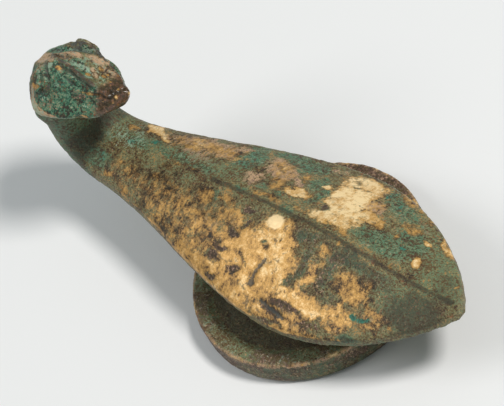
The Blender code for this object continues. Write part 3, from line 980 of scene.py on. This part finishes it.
class FinishBench:
    """Makes a material's nodes one by one. Grains of noise and tones go by their names."""

    def __init__(self, name, tones):
        self.material = bpy.data.materials.new(name)
        self.material.use_nodes = True
        self.tree = self.material.node_tree
        self.shader = self.tree.nodes["Principled BSDF"]
        self.place = self.tree.nodes.new("ShaderNodeTexCoord").outputs["Object"]
        self.tones = tones
        self.grains = {grain: self.noise(*values) for grain, values in GRAINS.items()}
        self.grains["streaks"] = self.mix_value(self.attribute("head"), "scratches", "lengthways")

    def put(self, socket, value):
        """Gives a socket a number, a node's output, or the grain or tone of this name."""
        if isinstance(value, str):
            value = self.grains[value] if value in self.grains else self.tones[value]
        if isinstance(value, bpy.types.NodeSocket):
            self.tree.links.new(value, socket)
        else:
            socket.default_value = value

    def node(self, kind, inputs, output=0, **settings):
        """A new node's output. Inputs and output go by their numbers or names."""
        node = self.tree.nodes.new("ShaderNode" + kind)
        for name, value in settings.items():
            setattr(node, name, value)
        for socket, value in inputs.items():
            self.put(node.inputs[socket], value)
        return node.outputs[output]

    def math(self, operation, first, second=0.0, third=0.0):
        return self.node("Math", {0: first, 1: second, 2: third}, operation=operation)

    def times(self, first, second):
        """The two values multiplied."""
        return self.math("MULTIPLY", first, second)

    def noise(self, size, detail, roughness, shift, bend=0, stretch=(1, 1, 1)):
        """Noise of this size in mm, shifted so that no two grains look alike."""
        shift = (shift * MM, -shift * MM, shift * MM)
        place = self.node("Mapping", {"Vector": self.place, "Location": shift, "Scale": stretch})
        inputs = {"Vector": place, "Scale": 1 / (size * MM), "Detail": detail}
        inputs.update({"Roughness": roughness, "Distortion": bend})
        return self.node("TexNoise", inputs)

    def attribute(self, name):
        return self.node("Attribute", {}, "Fac", attribute_name=name)

    def ragged(self, value, **sway):
        """The value, shifted by each named grain times its strength, for ragged edges."""
        for grain, strength in sway.items():
            value = self.math("MULTIPLY_ADD", self.math("SUBTRACT", grain, 0.5), strength, value)
        return value

    def cut(self, value, low, high):
        """0 below low to 1 above high, smoothly."""
        inputs = {"Value": value, "From Min": low, "From Max": high}
        return self.node("MapRange", inputs, interpolation_type="SMOOTHSTEP")

    def cover(self, name, low, high, **sway):
        """How far the attribute of this name covers the surface, with ragged edges."""
        return self.cut(self.ragged(self.attribute(name), **sway), low, high)

    def mix(self, factor, first, second):
        """A tone between the first and the second."""
        return self.node("Mix", {0: factor, 6: first, 7: second}, 2, data_type="RGBA")

    def mix_value(self, factor, first, second):
        """A value between the first and the second."""
        return self.node("Mix", {0: factor, 2: first, 3: second})

    def ramp(self, name, value):
        """A tone for the value, between the stops of the ramp of this name."""
        node = self.tree.nodes.new("ShaderNodeValToRGB")
        elements = node.color_ramp.elements
        while len(elements) < len(RAMPS[name]):
            elements.new(0.5)
        for element, (place, tone) in zip(elements, RAMPS[name].items()):
            element.position = place
            element.color = self.tones[tone]
        self.put(node.inputs[0], value)
        return node.outputs[0]


def bare_patina(bench, film):
    """Brown and olive patina with rusty specks, rubbed to rose in places, and the thin film on it."""
    ground = bench.ramp("ground", bench.ragged("grit", broad=0.6, middle=0.6, fine=0.7))
    ground = bench.mix(bench.cut("small", 0.58, 0.68), ground, "rust")
    worn = bench.ramp("worn", bench.ragged("streaks", fine=0.9, small=0.4))
    rubbed = bench.cover("rose", 0.4, 0.9, middle=1.4, streaks=1.2, grit=0.8)
    ground = bench.mix(rubbed, ground, worn)
    thin = bench.cover("film", 0.35, 0.8, middle=1.4, grit=1.0)
    return bench.mix(bench.times(thin, 0.8), ground, film)


def green_crust(bench, film):
    """Green crust with brown and rusty flecks, mixed with film off the head, and its teal spots."""
    crust = bench.ramp("crust", bench.ragged("small", middle=1.0, grit=0.7, fine=0.6))
    crust = bench.mix(bench.cut(bench.ragged("flecks", fine=0.8), 0.54, 0.66), crust, "umber")
    crust = bench.mix(bench.cut(bench.ragged("fine", middle=0.8), 0.66, 0.74), crust, "rust")
    off_head = bench.math("MULTIPLY_ADD", bench.attribute("head"), -0.5, 0.5)
    crust = bench.mix(off_head, crust, film)
    spots = bench.cover("teal", 0.4, 1.0, small=2.0, fine=1.4)
    return bench.mix(bench.times(spots, 0.85), crust, "teal")


def patina(bench, brown_tone):
    """All that isn't gilded: patina, crust, brown stains, powdery mint, the snout, and darkening that
    is partly dark patina and partly painted shade.
    """
    film = bench.ramp("film", bench.ragged("small", grit=0.9, fine=0.8, broad=0.6))
    green = bench.cover("green", 0.38, 0.66, middle=1.6, small=1.4, grit=0.8)
    skin = bench.mix(green, bare_patina(bench, film), green_crust(bench, film))
    brown = bench.cover("brown", 0.45, 0.95, small=2.2, grit=1.4, fine=1.4)
    skin = bench.mix(brown, skin, brown_tone)
    mint = bench.cover("mint", 0.4, 1.0, streaks=1.6, small=1.6, fine=1.0)
    skin = bench.mix(bench.times(mint, 0.8), skin, "mint")
    snout = bench.ramp("snout", bench.ragged("middle", small=0.9, grit=0.4))
    skin = bench.mix(bench.times(bench.attribute("gloss"), 0.8), skin, snout)
    # Darkening towards soot, mostly painted shade, with dark patina where the bronze is bare.
    bare = bench.times(bench.attribute("bare"), 0.7)
    darkness = bench.math("MAXIMUM", bench.attribute("dark"), bare)
    darkness = bench.cut(bench.ragged(darkness, middle=1.2, small=0.8), 0.3, 0.9)
    return bench.mix(bench.times(darkness, 0.7), skin, "soot_and_shade")


def gilding(bench, brown_tone):
    """The gilding's tone, darker where it is thin or worn, with dull specks where it isn't pale."""
    thickness, pale = bench.attribute("gilding"), bench.attribute("pale")
    # Paler gilding raises the shine, and so do the painted highlights among the pale patches.
    shine = bench.math("MULTIPLY_ADD", pale, 0.38, 0.09)
    shine = bench.math("MULTIPLY_ADD", bench.attribute("worn"), -0.18, shine)
    shine = bench.math("MULTIPLY_ADD", thickness, 0.34, shine)
    shine = bench.ragged(shine, broad=0.7, middle=1.1, streaks=0.5, grit=0.3, fine=0.4)
    specks = bench.math("MULTIPLY_ADD", thickness, -0.14, "specks")
    specks = bench.cut(bench.ragged(specks, broad=0.4, fine=0.3), 0.42, 0.56)
    specks = bench.times(bench.times(specks, bench.cut(pale, 1.4, 0.2)), 0.85)
    dull = bench.mix(0.5, brown_tone, "olive")
    return bench.mix(specks, bench.ramp("gold", shine), dull)


def gilt_bronze(colours):
    """Patina and crust, what is left of the gilding over both, and the marks in it."""
    tones = {name: tuple(getattr(colours, name)) for name in colours.__annotations__}
    bench = FinishBench("worn gilt bronze", tones)
    brown_tone = bench.ramp("brown", bench.ragged("grit", small=0.5, fine=0.6, streaks=0.5))
    gilded = bench.cover("gilding", 0.24, 0.82, flecks=2.0, small=1.4, grit=0.5, fine=0.3)
    surface = bench.mix(gilded, patina(bench, brown_tone), gilding(bench, brown_tone))
    spot = bench.attribute("spot")
    surface = bench.mix(spot, surface, bench.mix(0.15, "pale_gold", "rose"))
    ridge = bench.cover("ridge", 0.3, 0.9, middle=2.0, small=1.2)
    surface = bench.mix(bench.times(ridge, 0.68), surface, "soot_and_shade")
    groove = bench.cover("groove", 0.35, 0.8, small=1.6, grit=1.0, fine=0.8)
    surface = bench.mix(bench.times(groove, 0.85), surface, "slate")
    inputs = bench.shader.inputs
    bench.put(inputs["Base Color"], surface)

    gloss = bench.attribute("gloss")
    metal = bench.math("MAXIMUM", gilded, spot)
    shiny = bench.mix_value(bench.attribute("pale"), 0.35, 0.15)
    dull_patina = bench.mix_value("small", 0.3, 0.75)
    dull_gilding = bench.mix_value("small", 0.3, 0.55)
    roughness = bench.mix_value(metal, dull_patina, dull_gilding)
    bench.put(inputs["Metallic"], bench.times(metal, shiny))
    bench.put(inputs["Roughness"], bench.mix_value(gloss, roughness, SNOUT_ROUGHNESS))
    inputs["Specular IOR Level"].default_value = REFLECTION

    grain = bench.math("MULTIPLY_ADD", "grit", 0.7, bench.times("fine", 0.5))
    height = bench.mix_value(metal, grain, bench.math("MULTIPLY_ADD", grain, 0.15, 0.51))
    height = bench.mix_value(bench.times(gloss, 0.75), height, 0.6)
    bump = bench.node("Bump", {"Strength": 1.0, "Distance": BUMP_DEPTH, "Height": height})
    bench.put(inputs["Normal"], bump)
    return bench.material


def make_casting(settings, colours):
    """Makes the fine casting with its relief and finishes, in the CAD solid's place."""
    piece = fine_copy(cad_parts[NODE], "hook_casting", settings.grain)
    mesh = piece.data
    ease_facets(mesh)
    refine_head(mesh)
    points, normals = mesh_arrays(mesh)
    place = survey(points, normals)
    fields = finishes(points, place)
    height = relief(points, place, fields, settings)
    mesh.vertices.foreach_set("co", ((points + normals * height[:, None]) * MM).ravel())
    for name, values in vars(fields).items():
        add_attribute(mesh, name, values)
    mesh.shade_smooth()
    mesh.materials.clear()
    mesh.materials.append(gilt_bronze(colours))
    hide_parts(NODE)
    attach(piece, "root")


def make_floor(tone):
    """Lays a wide plain floor under the button's face."""
    bm = bmesh.new()
    bmesh.ops.create_grid(bm, x_segments=1, y_segments=1, size=FLOOR_HALF_SIDE)
    mesh = bpy.data.meshes.new("floor")
    bm.to_mesh(mesh)
    bm.free()
    material = bpy.data.materials.new("pale floor")
    material.use_nodes = True
    shader = material.node_tree.nodes["Principled BSDF"]
    shader.inputs["Base Color"].default_value = tone
    shader.inputs["Roughness"].default_value = FLOOR_ROUGHNESS
    mesh.materials.append(material)
    floor = new_object("floor", mesh)


def make_light(name, direction, size, power, tone):
    """Hangs a round lamp in this direction from the hook, turned towards it."""
    light = bpy.data.lights.new(name, "AREA")
    light.shape = "DISK"
    light.size = size
    light.energy = power
    light.color = tone
    lamp = new_object(name, light)
    direction = Vector(direction).normalized()
    lamp.location = direction * LAMP_DISTANCE
    lamp.rotation_euler = direction.to_track_quat("Z", "Y").to_euler()


def make_room(brightness):
    """Fills the shadows with an even light from all round."""
    world = bpy.data.worlds.new("room")
    world.use_nodes = True
    background = world.node_tree.nodes["Background"]
    background.inputs["Color"].default_value = ROOM_TONE
    background.inputs["Strength"].default_value = brightness
    bpy.context.scene.world = world


def make_camera():
    """Sets the camera at the photograph's angle."""
    level = Vector((math.cos(CAMERA_YAW), math.sin(CAMERA_YAW), 0.0))
    back = Matrix.Rotation(CAMERA_YAW, 3, "Z") @ Vector(
        (0.0, -math.cos(CAMERA_ELEVATION), math.sin(CAMERA_ELEVATION))
    )
    upright = back.cross(level)
    right = math.cos(CAMERA_ROLL) * level - math.sin(CAMERA_ROLL) * upright
    up = math.sin(CAMERA_ROLL) * level + math.cos(CAMERA_ROLL) * upright
    spot = RIM_TOP + CAMERA_DISTANCE * back
    back = (spot - RIM_TOP - AIM_RIGHT * right - AIM_UP * up).normalized()
    right = up.cross(back).normalized()
    up = back.cross(right)
    lens = bpy.data.cameras.new("camera")
    lens.sensor_width = 36.0
    lens.lens = LENS_MM
    lens.clip_start = 0.01
    camera = new_object("camera", lens)
    turn = Matrix((right, up, back)).transposed().to_4x4()
    camera.matrix_world = Matrix.Translation(spot) @ turn
    bpy.context.scene.camera = camera


class HOOK_OT_casting(bpy.types.Operator):
    """Casts the hook: its fine surface, relief and worn gilding"""

    bl_idname = "hook.casting"
    bl_label = "Cast the Hook"

    def execute(self, context):
        make_casting(context.scene.hook_relief, context.scene.hook_patina)
        return {"FINISHED"}


class HOOK_OT_stage(bpy.types.Operator):
    """Lays the pale floor and sets the light and the camera"""

    bl_idname = "hook.stage"
    bl_label = "Set the Stage"

    def execute(self, context):
        settings = context.scene.hook_stage
        make_floor(settings.floor)
        make_light("key", KEY_DIRECTION, settings.key_size, settings.key_power, KEY_TONE)
        make_light("sheen", SHEEN_DIRECTION, SHEEN_SIZE, settings.sheen_power, SHEEN_TONE)
        make_room(settings.fill)
        make_camera()
        context.scene.view_settings.view_transform = "Standard"
        return {"FINISHED"}


class HOOK_PT_panel(bpy.types.Panel):
    """Lists the hook's operators and settings"""

    bl_label = "Garment Hook"
    bl_idname = "HOOK_PT_panel"
    bl_space_type = "VIEW_3D"
    bl_region_type = "UI"
    bl_category = "Hook"

    def draw(self, context):
        layout = self.layout
        for operator in OPERATORS:
            layout.operator(operator.bl_idname)
        for group in SETTINGS:
            box = layout.box()
            values = getattr(context.scene, group)
            for name in values.__annotations__:
                box.prop(values, name)


SETTINGS = {
    "hook_relief": ReliefSettings,
    "hook_patina": PatinaSettings,
    "hook_stage": StageSettings,
}
OPERATORS = (HOOK_OT_casting, HOOK_OT_stage)
CLASSES = (*SETTINGS.values(), *OPERATORS, HOOK_PT_panel)


def register():
    for cls in CLASSES:
        bpy.utils.register_class(cls)
    for name, group in SETTINGS.items():
        setattr(bpy.types.Scene, name, PointerProperty(type=group))


def unregister():
    for name in SETTINGS:
        delattr(bpy.types.Scene, name)
    for cls in reversed(CLASSES):
        bpy.utils.unregister_class(cls)


def main():
    """Casts the hook and sets the stage."""
    register()
    bpy.ops.hook.casting()
    bpy.ops.hook.stage()


if __name__ == "__main__":
    main()
